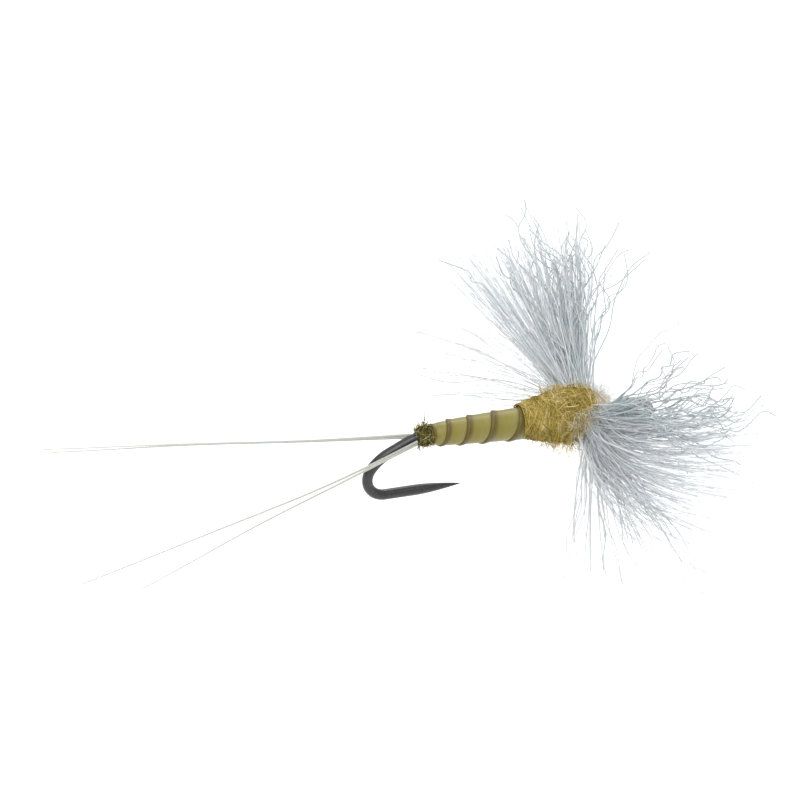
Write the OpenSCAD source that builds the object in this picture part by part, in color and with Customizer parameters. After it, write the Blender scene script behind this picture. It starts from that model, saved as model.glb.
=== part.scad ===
// Dry fly: a spent-wing mayfly tied on a barbless hook.
// Frame: origin at the centre of the hook eye, +X out through the front of the eye,
// +Z up, hook bend and point below, far side +Y, near side -Y. Millimetres.

/* [Hook] */
// Wire diameter of the hook
wire_d = 0.50; // [0.46:0.01:0.52]
// Distance from the tail tie-in forward to the centre of the eye
tie_to_eye = 11.08; // [11.0:0.02:11.3]
// Drop from the shank axis to the lowest part of the bend's axis
hook_gap = 2.86; // [2.7:0.02:3.0]
// Radius of the two long curves of the bend
bend_r = 2.2; // [2.1:0.02:2.3]
// Turn of the first curve, down from the shank
first_turn = 27.5; // [25:0.5:30]
// Turn from the shank at which the rear corner begins
second_turn = 57; // [54:1:60]
// Radius of the tight rear corner of the bend
corner_r = 0.92; // [0.84:0.02:0.96]
// Rise of the spear towards the point, in degrees
spear_rise = 1.0; // [0:0.5:2]
// Length of the full-thickness part of the spear
spear_len = 1.55; // [1.4:0.05:1.7]
// Length of the needle point
point_len = 2.3; // [2.0:0.1:2.5]
// Radius of the hole in the eye
eye_bore_r = 0.42; // [0.38:0.01:0.46]
// Thickness of the wire around the eye
eye_wire_d = 0.40; // [0.36:0.02:0.44]

/* [Abdomen] */
// Diameter of the abdomen at its rear end
abdomen_d_rear = 0.84; // [0.82:0.02:0.90]
// Diameter of the abdomen at its front end, inside the thorax
abdomen_d_front = 1.58; // [1.50:0.02:1.62]
// Turns of the biot strip
biot_turns = 4; // [3.5:0.5:4]
// Thickness of the biot strip
biot_t = 0.06; // [0.05:0.01:0.06]
// Height of the raised rear edge of each turn
biot_lip = 0.07; // [0.04:0.01:0.08]

/* [Thorax] */
// Largest diameter of the thorax dubbing
thorax_d = 2.4; // [2.3:0.05:2.5]
// Largest diameter of the pale dubbing in front of the wings
front_d = 2.0; // [1.8:0.05:2.1]
// Diameter of the thread crossings between the wings
crossing_d = 1.1; // [1.0:0.05:1.15]

/* [Wings] */
// Length of the longest yarn strands
yarn_len = 12.2; // [11:0.2:13]
// Length of the longest soft down fibres
down_len = 12.4; // [11:0.2:13]
// Length of the sparse long barbs
barb_len = 10.5; // [9:0.5:11.5]
// Yarn strands drawn in each wing
yarn_count = 11; // [9:1:13]
// Down fibres drawn in each wing
down_count = 13; // [9:1:15]

/* [Tail] */
// Length of the two far tail fibres
far_tail_len = 17.0; // [15:0.5:18]
// Length of the longer near tail fibre
near_tail_len = 19.4; // [17:0.2:20]
// Root diameter of a tail fibre
tail_d = 0.13; // [0.10:0.01:0.13]
// Outward splay of the tails from the shank
tail_splay = 19; // [18:0.5:20]
// Droop of the tails below the shank
tail_droop = 5.8; // [4:0.2:7]

/* [Hidden] */
$fn = 48;
round_fn = 96;
fibre_fn = 6;

black_nickel = [0.16, 0.16, 0.16];
thread_olive = [0.55, 0.50, 0.25];
olive_brown = [0.36, 0.33, 0.13];
biot_olive = [0.68, 0.66, 0.32];
underbody_olive = [0.62, 0.60, 0.30];
thorax_gold = [0.64, 0.52, 0.22];
cream = [0.80, 0.75, 0.62];
tail_grey = [0.82, 0.84, 0.82];
yarn_grey = [0.72, 0.77, 0.78];
down_grey = [0.84, 0.86, 0.89];
barb_grey = [0.86, 0.88, 0.88];
cement_clear = [0.85, 0.82, 0.65];

wire_r = wire_d / 2;
skin = 0.01; // air between two nested layers
step_gap = 0.02; // air between neighbours along the shank
thread_t = 0.06;
ridge_h = 0.02; // height of one wrap of thread
taper_power = 0.48; // the abdomen swells quickly, then slowly
tie_x = -tie_to_eye;
bend_x = tie_x + 0.56; // where the shank starts to bend
eye_ring_r = eye_bore_r + eye_wire_d / 2;
neck_len = 0.55; // wire tapers over this length into the eye
neck_end_r = eye_wire_d * 0.42;
bead = 0.004; // rise of the beads that close the joints in the wire
tail_root_x = tie_x - 0.08;
tail_root_y = 0.37; // the roots lie on the flanks of the wire

head_r0 = 0.42; // the head thins from its rear to its front
head_r1 = 0.335;
cement_lap = 0.05;

// Stations along the shank, from the tail tie-in forward.
ball_x = tie_x - step_gap;
ball_len = 0.60;
abdomen_x = tie_x + 0.70;
abdomen_end = tie_x + 6.90;
thorax_x = tie_x + 5.20;
thorax_end = tie_x + 8.00;
wing_x = tie_x + 8.48;
wing_gap = 0.92;
front_x = wing_x + wing_gap / 2;
front_end = tie_x + 9.62;
head_x = front_end + step_gap;
head_end = -eye_bore_r - eye_wire_d - 0.06; // the eye stays clear
neck_x = -eye_ring_r - neck_len;

thread_r0 = wire_r + skin;
thread_r1 = thread_r0 + thread_t;
layer_r0 = thread_r1 + skin;

// The hook's axis runs back along the shank, down the first curve, straight, down the
// second curve, round the corner and forward along the spear. A heading is the turn from
// straight back.
function inward(h) = [sin(h), -cos(h)];
function onward(h) = [-cos(h), -sin(h)];
function arc_end(p, r, h0, h1) = p + r * (inward(h0) - inward(h1));
last_turn = 180 + spear_rise;
curve_drop = bend_r * (1 - cos(second_turn)) + corner_r * (cos(second_turn) + 1);
slope_len = (hook_gap - curve_drop) / sin(first_turn);
bend_start = [bend_x, 0];
slope_start = arc_end(bend_start, bend_r, 0, first_turn);
slope_end = slope_start + slope_len * onward(first_turn);
corner_start = arc_end(slope_end, bend_r, first_turn, second_turn);
spear_start = arc_end(corner_start, corner_r, second_turn, last_turn);
spear_end = spear_start + spear_len * onward(last_turn);

module along_x(x) {
    translate([x, 0, 0])
        rotate([0, 90, 0])
            children();
}

// Even, repeatable scatter between -1 and 1.
function sway(i, k) = sin(i * 137.5 + k * 83);

// Tube around the shank from x0 to x1.
module sleeve(x0, x1, r0, r1) {
    along_x(x0)
        difference() {
            cylinder(h = x1 - x0, r = r1);
            translate([0, 0, -1])
                cylinder(h = x1 - x0 + 2, r = r0);
        }
}

// Solid of revolution around the shank. outer and inner are lists of [x, r] with rising x.
module turned(outer, inner) {
    rotate([0, 90, 0])
        rotate_extrude($fn = round_fn)
            polygon(concat([for (p = inner) [p[1], p[0]]],
                [for (i = [len(outer) - 1 : -1 : 0]) [outer[i][1], outer[i][0]]]));
}

// Bent wire that starts at p with heading h0 and ends with heading h1.
module wire_arc(p, r, h0, h1, wr) {
    c = p + r * inward(h0);
    translate([c[0], 0, c[1]])
        rotate([90, 0, 0])
            rotate([0, 0, 90 + h0])
                rotate_extrude(angle = h1 - h0, $fn = round_fn)
                    translate([r, 0])
                        circle(r = wr, $fn = 24);
}

// Places its children at p with +Z along heading h.
module heading(p, h) {
    translate([p[0], 0, p[1]])
        rotate([0, -90 - h, 0])
            children();
}

module hook_wire(wr) {
    along_x(bend_x)
        cylinder(h = neck_x - bend_x, r = wr);
    wire_arc(bend_start, bend_r, 0, first_turn, wr);
    heading(slope_start, first_turn)
        cylinder(h = slope_len, r = wr);
    wire_arc(slope_end, bend_r, first_turn, second_turn, wr);
    wire_arc(corner_start, corner_r, second_turn, last_turn, wr);
    heading(spear_start, last_turn)
        cylinder(h = spear_len, r = wr);
    // Hardly raised beads close the joints between the straight and bent lengths.
    for (p = [bend_start, slope_start, slope_end, corner_start, spear_start, spear_end])
        translate([p[0], 0, p[1]])
            sphere(r = wr + bead);
}

// Needle point: it thins slowly at first and then faster.
module needle_point() {
    steps = 12;
    point_power = 1.6;
    tip_r = 0.012;
    rotate_extrude()
        polygon(concat([[0, 0]],
            [for (i = [0 : steps])
                let (t = i / steps)
                [max(wire_r * (1 - pow(t, point_power)), tip_r), point_len * t]],
            [[0, point_len]]));
}

module eye_profile() {
    translate([eye_ring_r, 0])
        circle(d = eye_wire_d, $fn = 24);
    translate([eye_bore_r, -eye_wire_d / 4])
        square([eye_wire_d / 2, eye_wire_d / 2]);
}

module hook() {
    color(black_nickel) {
        hook_wire(wire_r);
        along_x(neck_x)
            cylinder(h = neck_len, r1 = wire_r, r2 = neck_end_r);
        rotate_extrude($fn = round_fn)
            eye_profile();
        heading(spear_end, last_turn)
            needle_point();
    }
}

module shank_thread_base() {
    color(thread_olive)
        sleeve(bend_x + step_gap, head_x + step_gap, thread_r0, thread_r1);
}

module tail_tie_in_wraps() {
    color(olive_brown)
        sleeve(ball_x + ball_len + step_gap, abdomen_x - step_gap, layer_r0,
            layer_r0 + thread_t);
}

// Rounded butt of dubbing, cut clear of the wire and the thread that run through it.
module tail_ball() {
    steps = 14;
    ball_r = 0.41;
    end_share = 0.02; // keeps the two ends from closing to a sharp point
    color(olive_brown)
        difference() {
            turned([for (i = [0 : steps])
                    [ball_x + ball_len * i / steps,
                        ball_r * sqrt(max(sin(180 * i / steps), end_share))]],
                [[ball_x, 0], [ball_x + ball_len, 0]]);
            hook_wire(wire_r + skin);
            along_x(bend_x)
                cylinder(h = ball_len, r = thread_r1 + skin);
        }
}

// One tapered tail fibre: side is +1 far or -1 near.
module tail_fibre(side, z0, splay, droop, l) {
    tip_share = 0.35;
    translate([tail_root_x, side * tail_root_y, z0])
        rotate([0, 0, 180 - side * splay])
            rotate([0, 90 + droop, 0])
                cylinder(h = l, d1 = tail_d, d2 = tail_d * tip_share);
}

module far_tail_fibre_upper() {
    color(tail_grey)
        tail_fibre(1, -0.08, tail_splay + 0.4, tail_droop - 0.3, far_tail_len);
}

module far_tail_fibre_lower() {
    color(tail_grey)
        tail_fibre(1, -0.23, tail_splay + 0.6, tail_droop - 0.1, far_tail_len * 0.98);
}

module near_tail_fibre_upper() {
    color(tail_grey)
        tail_fibre(-1, -0.03, tail_splay - 2, tail_droop - 0.8, near_tail_len);
}

module near_tail_fibre_lower() {
    color(tail_grey)
        tail_fibre(-1, -0.18, tail_splay + 2.5, tail_droop + 0.4, near_tail_len * 0.88);
}

// Radius of the padded body under the biot, at x.
function body_r(x) =
    let (t = (x - abdomen_x) / (abdomen_end - abdomen_x), r0 = abdomen_d_rear / 2 - biot_t,
        r1 = abdomen_d_front / 2 - biot_t)
    r0 + (r1 - r0) * pow(min(max(t, 0), 1), taper_power);

module abdomen_underbody() {
    steps = 16;
    color(underbody_olive)
        turned([for (i = [0 : steps])
                let (x = abdomen_x + (abdomen_end - abdomen_x) * i / steps)
                [x, body_r(x)]],
            [[abdomen_x, layer_r0], [abdomen_end, layer_r0]]);
}

// Axial advance of the strip after t turns: the pitch widens towards the thorax.
biot_start_a = -134; // the strip starts at the top of the far side
biot_inset = 0.02;
biot_span = abdomen_end - abdomen_x - biot_inset - 0.03; // ends just inside the thorax
function biot_advance(t) = 0.78 * t + 0.09 * t * t;
function biot_x(t) =
    abdomen_x + biot_inset + biot_span * biot_advance(t) / biot_advance(biot_turns + 1);

// Overlapping strip wound forward and up the near side, each turn with a raised rear edge.
module abdomen_biot_wrap() {
    per_turn = 36;
    n = round(biot_turns * per_turn);
    edge_gap = 0.012; // between one turn and the next
    base = 0.014; // air under the strip
    belly = 0.004; // the strip arches this much off the body
    lip_share = 0.16; // of the strip's width
    fold_share = 0.6; // of the lip's height, where the lip ends
    thin_share = 0.8; // of the thickness, at the front edge
    rings = [for (i = [0 : n])
        let (t = i / per_turn, a = biot_start_a + t * 360, xa = biot_x(t),
            xb = biot_x(t + 1) - edge_gap, xm = xa + (xb - xa) * lip_share)
        [for (p = [[xa, body_r(xa) + base], [xa, body_r(xa) + skin + biot_t + biot_lip],
                [xm, body_r(xm) + skin + biot_t + biot_lip * fold_share],
                [xb, body_r(xb) + skin + biot_t * thin_share], [xb, body_r(xb) + base],
                [xm, body_r(xm) + base + belly]])
            [p[0], -p[1] * sin(a), -p[1] * cos(a)]]];
    m = len(rings[0]);
    color(biot_olive)
        polyhedron(
            points = [for (r = rings) each r],
            faces = concat(
                [for (i = [0 : n - 1], j = [0 : m - 1])
                    each [[(i + 1) * m + (j + 1) % m, i * m + (j + 1) % m, i * m + j],
                        [(i + 1) * m + j, (i + 1) * m + (j + 1) % m, i * m + j]]],
                [[for (j = [0 : m - 1]) j]],
                [[for (j = [m - 1 : -1 : 0]) n * m + j]]),
            convexity = 8);
}

// Side of a thread collar with one ridge for each wrap.
function ridged(x0, x1, r0, r1, wraps) = [for (i = [0 : wraps * 2])
    let (t = i / (wraps * 2))
    [x0 + (x1 - x0) * t, r0 + (r1 - r0) * t + (i % 2 == 1 ? ridge_h : 0)]];

module biot_tie_off_wraps() {
    wraps = 5;
    wrap_w = 0.072;
    collar_r = 0.52;
    x0 = abdomen_end + step_gap;
    x1 = x0 + wraps * wrap_w;
    color(thread_olive)
        turned(ridged(x0, x1, collar_r, collar_r - ridge_h, wraps),
            [[x0, layer_r0], [x1, layer_r0]]);
}

// Spun fur body with a few loose fibres below it.
module thorax_dubbing() {
    steps = 16;
    r_max = thorax_d / 2;
    strip_air = 0.04;
    cover = body_r(thorax_x) + biot_t + biot_lip + strip_air; // clear of the wound strip
    cover_front = body_r(abdomen_end) + biot_t + biot_lip + strip_air;
    step_x = abdomen_end + step_gap;
    front_bore_r = 0.60; // clear of the tie-off wraps
    rear_t = 0.04; // thickness of the fur at its rear edge
    peak = 0.78; // share of the length at which the thorax is widest
    front_fall = 0.24; // loss of radius from there to the wings
    swell_power = 1.4;
    clump = 0.02; // height of the fur's soft clumps
    clumps = 4;
    tuft_count = 5;
    tuft_x = thorax_end - 1.9;
    tuft_pitch = 0.38;
    color(thorax_gold) {
        turned([for (i = [0 : steps])
                let (t = i / steps, rise = sin(90 * min(t / peak, 1)),
                    fall = max(0, (t - peak) / (1 - peak)))
                [thorax_x + (thorax_end - thorax_x) * t,
                    cover + rear_t + (r_max - cover - rear_t) * pow(rise, swell_power)
                        - front_fall * fall * fall + clump * sin(t * 360 * clumps)]],
            [[thorax_x, cover], [step_x, cover_front], [step_x, front_bore_r],
                [thorax_end, front_bore_r]]);
        for (i = [0 : tuft_count - 1])
            translate([tuft_x + tuft_pitch * i, 0.3 - 0.15 * i, 0.2 - r_max])
                rotate([12 * (i - 2), 180 + 10 * sway(i, 1), 0])
                    cylinder(h = 1.05 + 0.15 * sway(i, 2), r1 = 0.05, r2 = 0.02, $fn = 16);
    }
}

module wing_figure_eight_wraps() {
    wraps = 9;
    r = crossing_d / 2 - ridge_h;
    x0 = thorax_end + 0.03;
    x1 = front_x - 0.03;
    color(thread_olive)
        turned(ridged(x0, x1, r, r, wraps), [[x0, layer_r0], [x1, layer_r0]]);
}

module front_dubbing() {
    steps = 10;
    r_max = front_d / 2;
    end_share = 0.55; // of the full radius, which the ends fall towards
    start_a = 50;
    swept_a = 120; // the hump runs through this part of a full wave
    color(cream)
        turned([for (i = [0 : steps])
                let (t = i / steps, x = front_x + (front_end - front_x) * t)
                [x, r_max * (end_share + (1 - end_share) * pow(sin(start_a + swept_a * t), 2))]],
            [[front_x, layer_r0], [front_end, layer_r0]]);
}

module head_whip_finish() {
    wraps = 6;
    lap = 0.06; // the head laps this far over the end of the thread base
    x1 = head_end - cement_lap - skin;
    color(thread_olive)
        turned(ridged(head_x, x1, head_r0, head_r1, wraps),
            [[head_x, layer_r0], [head_x + lap, layer_r0], [head_x + lap, thread_r0],
                [x1, thread_r0]]);
}

// Clear drop on the front of the finished head.
module head_cement() {
    x0 = head_end - cement_lap;
    x1 = head_end + skin;
    rim_t = 0.02; // thickness of the drop's front rim
    color(cement_clear)
        turned([[x0, head_r1], [x0 + cement_lap / 2, head_r1 - rim_t], [x1, thread_r0 + rim_t]],
            [[x0, thread_r0], [x1, thread_r0]]);
}

// Unit direction of a wing fibre: sweep forward from +Y, then raise above level.
function fibre_dir(sweep, raise) =
    [sin(sweep), cos(sweep) * cos(raise), cos(sweep) * sin(raise)];

module fibre_segment(a, b, ra, rb) {
    hull() {
        translate(a)
            sphere(r = ra, $fn = fibre_fn);
        translate(b)
            sphere(r = rb, $fn = fibre_fn);
    }
}

// A flat spray of fibres growing from one short stalk beside the shank.
module spray(x0, root_raise, sweep0, sweep1, raise0, raise1, count, l, segs, kink, r0) {
    stalk_in = 0.72; // clear of the dubbing and the crossings
    stalk_out = 1.34;
    stalk_r = 0.19;
    taper = 0.7; // loss of radius from root to tip
    foot = [x0, 0, 0] + stalk_out * fibre_dir(0, root_raise);
    translate([x0, 0, 0])
        rotate([root_raise, 0, 0])
            translate([0, stalk_in, 0])
                rotate([-90, 0, 0])
                    cylinder(h = stalk_out - stalk_in + 0.05, r = stalk_r, $fn = 20);
    for (i = [0 : count - 1]) {
        t = i / (count - 1);
        d = fibre_dir(sweep0 + (sweep1 - sweep0) * t,
            (raise0 + raise1) / 2 + (raise1 - raise0) / 2 * sway(i, 1));
        reach = l * (0.88 + 0.12 * sway(i, 2)) * (0.86 + 0.14 * sin(180 * t));
        pts = [for (k = [0 : segs])
            foot + d * reach * k / segs
                + (k == 0 ? 0 : kink) * [sway(i, k + 3), sway(i, k + 9), 0.4 * sway(i, k + 5)]];
        for (k = [0 : segs - 1])
            fibre_segment(pts[k], pts[k + 1], r0 * (1 - taper * k / segs),
                r0 * (1 - taper * (k + 1) / segs));
    }
}

yarn_stalk_x = wing_x + 0.24;
down_stalk_x = wing_x - 0.22;

module wing_yarn() {
    spray(yarn_stalk_x, 32, 6, 44, 24, 38, yarn_count, yarn_len, 4, 0.30, 0.13);
}

module wing_down() {
    spray(down_stalk_x, -2, -26, 36, -3, 9, down_count, down_len, 2, 0.08, 0.10);
}

module far_wing_yarn() {
    color(yarn_grey)
        wing_yarn();
}

module near_wing_yarn() {
    color(yarn_grey)
        mirror([0, 1, 0])
            wing_yarn();
}

module far_wing_down() {
    color(down_grey)
        wing_down();
}

module near_wing_down() {
    color(down_grey)
        mirror([0, 1, 0])
            wing_down();
}

// The far barbs sweep back above the down; the near barbs hang below it.
module far_wing_long_barbs() {
    color(barb_grey)
        spray(down_stalk_x, 32, -78, -34, 16, 26, 6, barb_len, 2, 0.10, 0.06);
}

module near_wing_long_barbs() {
    color(barb_grey)
        mirror([0, 1, 0])
            spray(down_stalk_x, -38, -34, 4, -32, -18, 6, barb_len, 2, 0.10, 0.06);
}

hook();
shank_thread_base();
tail_tie_in_wraps();
tail_ball();
far_tail_fibre_upper();
far_tail_fibre_lower();
near_tail_fibre_upper();
near_tail_fibre_lower();
abdomen_underbody();
abdomen_biot_wrap();
biot_tie_off_wraps();
thorax_dubbing();
wing_figure_eight_wraps();
front_dubbing();
head_whip_finish();
head_cement();
far_wing_yarn();
near_wing_yarn();
far_wing_down();
near_wing_down();
far_wing_long_barbs();
near_wing_long_barbs();
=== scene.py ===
import math

import bpy
import numpy as np
from mathutils import Matrix, Vector


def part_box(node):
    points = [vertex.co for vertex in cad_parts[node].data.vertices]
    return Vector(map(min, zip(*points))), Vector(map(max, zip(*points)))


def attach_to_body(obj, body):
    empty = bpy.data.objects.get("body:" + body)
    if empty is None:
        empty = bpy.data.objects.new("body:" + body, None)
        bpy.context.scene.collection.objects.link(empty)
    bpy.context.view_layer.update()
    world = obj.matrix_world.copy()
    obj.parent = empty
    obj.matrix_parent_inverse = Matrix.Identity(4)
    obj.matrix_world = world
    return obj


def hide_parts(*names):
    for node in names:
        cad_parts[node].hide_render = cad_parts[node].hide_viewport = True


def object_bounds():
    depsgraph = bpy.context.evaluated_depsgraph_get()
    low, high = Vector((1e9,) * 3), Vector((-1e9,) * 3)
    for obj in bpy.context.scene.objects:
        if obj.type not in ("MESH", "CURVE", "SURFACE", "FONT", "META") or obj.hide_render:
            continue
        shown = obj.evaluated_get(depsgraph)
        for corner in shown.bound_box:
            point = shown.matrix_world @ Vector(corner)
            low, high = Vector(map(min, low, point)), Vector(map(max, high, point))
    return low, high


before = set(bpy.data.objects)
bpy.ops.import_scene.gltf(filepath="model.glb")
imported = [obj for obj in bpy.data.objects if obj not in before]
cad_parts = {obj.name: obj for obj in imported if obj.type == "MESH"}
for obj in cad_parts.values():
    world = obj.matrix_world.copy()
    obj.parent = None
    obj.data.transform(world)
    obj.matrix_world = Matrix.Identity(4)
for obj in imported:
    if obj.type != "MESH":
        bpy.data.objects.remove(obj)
cad_low, cad_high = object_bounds()

MM = 0.001
SEED = 631
ROOT = "hook_and_body"
FAR, NEAR = 1, -1
BODY = {FAR: "far_wing", NEAR: "near_wing"}
PER_MM = 1 / MM  # grain of a noise or wave texture, as its scales are per metre


# ---------------- helpers

def lin(r, g, b):
    """Linear colour from an 8-bit display colour."""
    return tuple(((c / 255 + 0.055) / 1.055) ** 2.4 if c > 10 else c / 255 / 12.92 for c in (r, g, b))


def box_mm(node):
    """Lowest and highest corners of a CAD node's box, in millimetres."""
    low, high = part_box(node)
    return np.array(low) / MM, np.array(high) / MM


def node_points(node):
    """All points of a CAD node, in millimetres."""
    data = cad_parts[node].data
    flat = np.empty(len(data.vertices) * 3)
    data.vertices.foreach_get("co", flat)
    return flat.reshape(-1, 3) / MM


def unit(v):
    return v / np.maximum(np.linalg.norm(v, axis=-1, keepdims=True), 1e-12)


def smooth(t):
    """Eases from 0 to 1 as t does, level at both ends."""
    t = np.clip(t, 0, 1)
    return t * t * (3 - 2 * t)


def build(name, verts, quads, attributes):
    """A mesh object from points in millimetres and four-cornered faces."""
    mesh = bpy.data.meshes.new(name)
    mesh.vertices.add(len(verts))
    mesh.vertices.foreach_set("co", (verts * MM).ravel())
    mesh.loops.add(quads.size)
    mesh.loops.foreach_set("vertex_index", quads.ravel())
    mesh.polygons.add(len(quads))
    mesh.polygons.foreach_set("loop_start", np.arange(0, quads.size, 4))
    mesh.update(calc_edges=True)
    mesh.validate()
    for key, values in attributes.items():
        layer = mesh.attributes.new(key, "FLOAT", "POINT")
        layer.data.foreach_set("value", np.asarray(values, float).ravel())
    mesh.polygons.foreach_set("use_smooth", [True] * len(mesh.polygons))
    obj = bpy.data.objects.new(name, mesh)
    bpy.context.scene.collection.objects.link(obj)
    return obj


# Helper axes that set where a tube's cross-section starts; the second serves upright tubes.
LEVEL_HELPER, UPRIGHT_HELPER = [0.1, 0.3, 0.9], [0.9, 0.3, 0.1]
UPRIGHT = 0.8


def tube_mesh(paths, radii, sides):
    """Vertices, faces and the share along each path for tubes swept along paths (F, N, 3).

    Four-sided tubes are capped. The others end inside another piece or at a tip too fine to show.
    """
    count, steps, _ = paths.shape
    tangent = unit(np.gradient(paths, axis=1))
    chord = unit(paths[:, -1] - paths[:, 0])
    helper = np.where(np.abs(chord[:, 2:]) > UPRIGHT, [UPRIGHT_HELPER], [LEVEL_HELPER])
    across = unit(np.cross(tangent, helper[:, None, :]))
    beside = np.cross(tangent, across)
    angle = np.arange(sides) * 2 * math.pi / sides
    ring = (across[:, :, None] * np.cos(angle)[:, None] + beside[:, :, None] * np.sin(angle)[:, None])
    verts = (paths[:, :, None] + ring * radii[:, :, None, None]).reshape(-1, 3)
    first = (np.arange(count)[:, None, None] * steps + np.arange(steps - 1)[None, :, None]) * sides
    here = np.arange(sides)[None, None, :]
    after = (here + 1) % sides
    quads = np.stack([first + here, first + after, first + sides + after, first + sides + here], -1)
    quads = quads.reshape(-1, 4)
    if sides == 4:
        base = np.arange(count)[:, None] * steps * sides
        low = base + np.array([3, 2, 1, 0])
        high = base + (steps - 1) * sides + np.array([0, 1, 2, 3])
        quads = np.concatenate([quads, low, high])
    along = np.broadcast_to(np.linspace(0, 1, steps)[None, :, None], (count, steps, sides))
    return verts, quads, along.ravel()


CORNER_CUT = 0.25


def rounded(points, times):
    """Corner cutting: each pass rounds the corners of the control paths (F, N, 3)."""
    keep = 1 - CORNER_CUT
    for _ in range(times):
        a, b = points[:, :-1], points[:, 1:]
        cut = np.stack([a * keep + b * CORNER_CUT, a * CORNER_CUT + b * keep], 2)
        cut = cut.reshape(points.shape[0], -1, 3)
        points = np.concatenate([points[:, :1], cut, points[:, -1:]], 1)
    return points


def attach(obj, body, nodes, material):
    """Puts a piece on its body, in place of its CAD nodes, with its own slot and material."""
    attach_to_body(obj, body)
    if nodes:
        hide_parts(*nodes)
    obj.data.materials.clear()
    obj.data.materials.append(material)


def fibres(name, paths, radii, sides, tone):
    """One object of many tubes, each with its own tone."""
    verts, quads, along = tube_mesh(paths, radii, sides)
    points_each = paths.shape[1] * sides
    return build(name, verts, quads, {"along": along, "tone": np.repeat(tone, points_each)})


# ---------------- materials

class Nodes:
    """Short forms for building a shader."""

    def __init__(self, name):
        self.material = bpy.data.materials.new(name)
        self.material.use_nodes = True
        self.tree = self.material.node_tree
        self.shader = self.tree.nodes["Principled BSDF"]
        self.output = self.tree.nodes["Material Output"]

    def add(self, kind, **settings):
        node = self.tree.nodes.new(kind)
        for key, value in settings.items():
            setattr(node, key, value)
        return node

    def link(self, source, target):
        self.tree.links.new(source, target)

    def attribute(self, key):
        return self.add("ShaderNodeAttribute", attribute_name=key).outputs["Fac"]

    def position(self):
        return self.add("ShaderNodeTexCoord").outputs["Object"]

    def noise(self, scale, detail=4.0, vector=None):
        node = self.add("ShaderNodeTexNoise")
        node.inputs["Scale"].default_value = scale
        node.inputs["Detail"].default_value = detail
        self.link(vector or self.position(), node.inputs["Vector"])
        return node.outputs["Fac"]

    def ramp(self, factor, stops):
        node = self.add("ShaderNodeValToRGB")
        while len(node.color_ramp.elements) < len(stops):
            node.color_ramp.elements.new(0.5)
        for element, (place, colour) in zip(node.color_ramp.elements, stops):
            element.position = place
            element.color = (*colour, 1)
        self.link(factor, node.inputs["Fac"])
        return node.outputs["Color"]

    def maths(self, operation, a, b):
        node = self.add("ShaderNodeMath", operation=operation)
        for socket, value in zip(node.inputs, (a, b)):
            if isinstance(value, (int, float)):
                socket.default_value = value
            else:
                self.link(value, socket)
        return node.outputs[0]

    def mix(self, factor, a, b, blend="MIX"):
        node = self.add("ShaderNodeMix", data_type="RGBA", blend_type=blend)
        for socket, value in zip((node.inputs[0], node.inputs[6], node.inputs[7]), (factor, a, b)):
            if isinstance(value, (int, float)):
                socket.default_value = value
            elif isinstance(value, tuple):
                socket.default_value = (*value, 1)
            else:
                self.link(value, socket)
        return node.outputs[2]

    def colour(self, source):
        self.link(source, self.shader.inputs["Base Color"])

    def set(self, **values):
        for key, value in values.items():
            self.shader.inputs[key.replace("_", " ")].default_value = value

    def rough(self, low, high, factor):
        node = self.add("ShaderNodeMapRange")
        self.link(factor, node.inputs["Value"])
        node.inputs["To Min"].default_value = low
        node.inputs["To Max"].default_value = high
        self.link(node.outputs["Result"], self.shader.inputs["Roughness"])

    def bump(self, height, strength, distance):
        node = self.add("ShaderNodeBump")
        node.inputs["Strength"].default_value = strength
        node.inputs["Distance"].default_value = distance
        self.link(height, node.inputs["Height"])
        self.link(node.outputs["Normal"], self.shader.inputs["Normal"])

    def see_through(self, colour, share):
        """Adds light passed through from behind, as thin fibres have."""
        thin = self.add("ShaderNodeBsdfTranslucent")
        if isinstance(colour, tuple):
            thin.inputs["Color"].default_value = (*colour, 1)
        else:
            self.link(colour, thin.inputs["Color"])
        both = self.add("ShaderNodeMixShader")
        both.inputs["Fac"].default_value = share
        self.link(self.shader.outputs[0], both.inputs[1])
        self.link(thin.outputs[0], both.inputs[2])
        self.link(both.outputs[0], self.output.inputs["Surface"])


def hook_finish():
    m = Nodes("satin_black_hook")
    speckle = m.noise(9 * PER_MM, 3)
    m.colour(m.ramp(speckle, [(0.35, lin(24, 24, 25)), (0.7, lin(44, 44, 44))]))
    m.rough(0.28, 0.46, m.noise(5 * PER_MM, 2))
    m.set(Metallic=0.25, Specular_IOR_Level=0.6, Coat_Weight=0.25, Coat_Roughness=0.3)
    m.bump(m.noise(14 * PER_MM, 2), 0.15, 0.00001)
    return m.material


def thread_finish(name, dark, light):
    m = Nodes(name)
    strands = m.add("ShaderNodeTexWave", bands_direction="X")
    strands.inputs["Scale"].default_value = 2.2 * PER_MM
    strands.inputs["Distortion"].default_value = 3
    m.link(m.position(), strands.inputs["Vector"])
    both = m.maths("MULTIPLY", strands.outputs["Fac"], m.noise(4 * PER_MM, 3))
    m.colour(m.ramp(both, [(0.05, dark), (0.55, light)]))
    m.rough(0.45, 0.7, m.noise(6 * PER_MM, 2))
    m.bump(strands.outputs["Fac"], 0.5, 0.00002)
    return m.material


def fur_finish(name, stops):
    """Spun fur: each hair takes its colour from its own tone, varied along it and from clump to clump."""
    along_hair, clumps, centring = 0.25, 0.7, 0.47
    m = Nodes(name)
    tone = m.maths("ADD", m.attribute("tone"), m.maths("MULTIPLY", m.noise(3 * PER_MM, 3), along_hair))
    tone = m.maths("ADD", tone, m.maths("MULTIPLY", m.noise(1.3 * PER_MM, 2), clumps))
    shade = m.ramp(m.maths("SUBTRACT", tone, centring), stops)
    m.colour(shade)
    m.rough(0.45, 0.7, m.noise(5 * PER_MM, 2))
    m.set(Specular_IOR_Level=0.45)
    m.see_through(shade, 0.25)
    return m.material


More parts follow.
